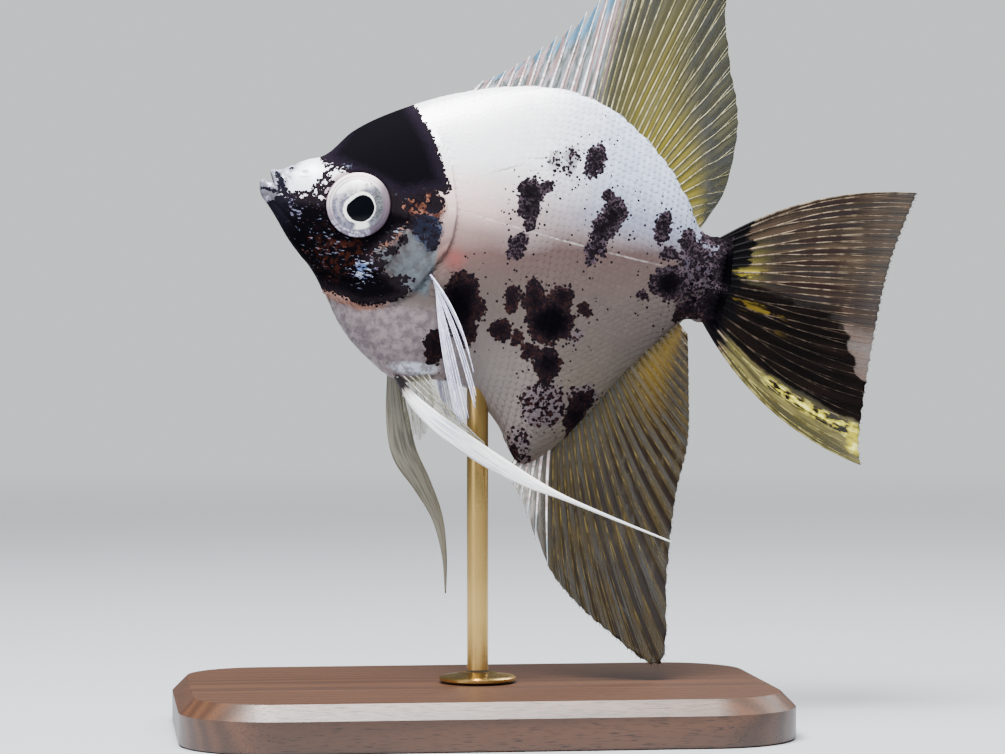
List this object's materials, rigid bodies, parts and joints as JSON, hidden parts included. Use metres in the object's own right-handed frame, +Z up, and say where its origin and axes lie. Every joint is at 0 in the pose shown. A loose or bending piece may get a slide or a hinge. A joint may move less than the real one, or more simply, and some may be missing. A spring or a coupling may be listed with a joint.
{
  "type": "freshwater angelfish model",
  "caption": "Life-size still model of a marbled freshwater angelfish with tall dorsal and anal fins, swimming nose up on a rod stand.",
  "frame": {"origin": "middle of the stand's underside, straight below the rod", "axes": "+Z up, the snout towards -X and the tail towards +X, the fish's left side towards -Y"},
  "size_m": [0.0976, 0.05, 0.1141],
  "materials": {
    "fish_skin": "pearly wet skin with black marbling",
    "fish_eye": "polished, silver iris and black pupil",
    "clear_fin": "clear web with whitish rays",
    "silver_fin": "bright silvery white blade",
    "pale_fin": "translucent grey web with whitish rays",
    "dark_fin": "smoky and black web with pale rays",
    "stand_wood": "satin varnished dark wood",
    "stand_brass": "lacquered brass"
  },
  "bodies": {
    "root": {"head": "fish_skin", "upper_jaw": "fish_skin", "lower_jaw": "fish_skin", "trunk": "fish_skin", "tail_stalk": "fish_skin", "gill_cover_left": "fish_skin", "gill_cover_right": "fish_skin", "eye_left": "fish_eye", "eye_right": "fish_eye", "pectoral_fin_left": "clear_fin", "pectoral_fin_right": "clear_fin", "pelvic_fin_left": "silver_fin", "pelvic_fin_right": "silver_fin", "dorsal_fin": "pale_fin", "anal_fin": "pale_fin", "caudal_fin": "dark_fin", "stand_base": "stand_wood", "stand_flange": "stand_brass", "stand_rod": "stand_brass"}
  },
  "joints": []
}
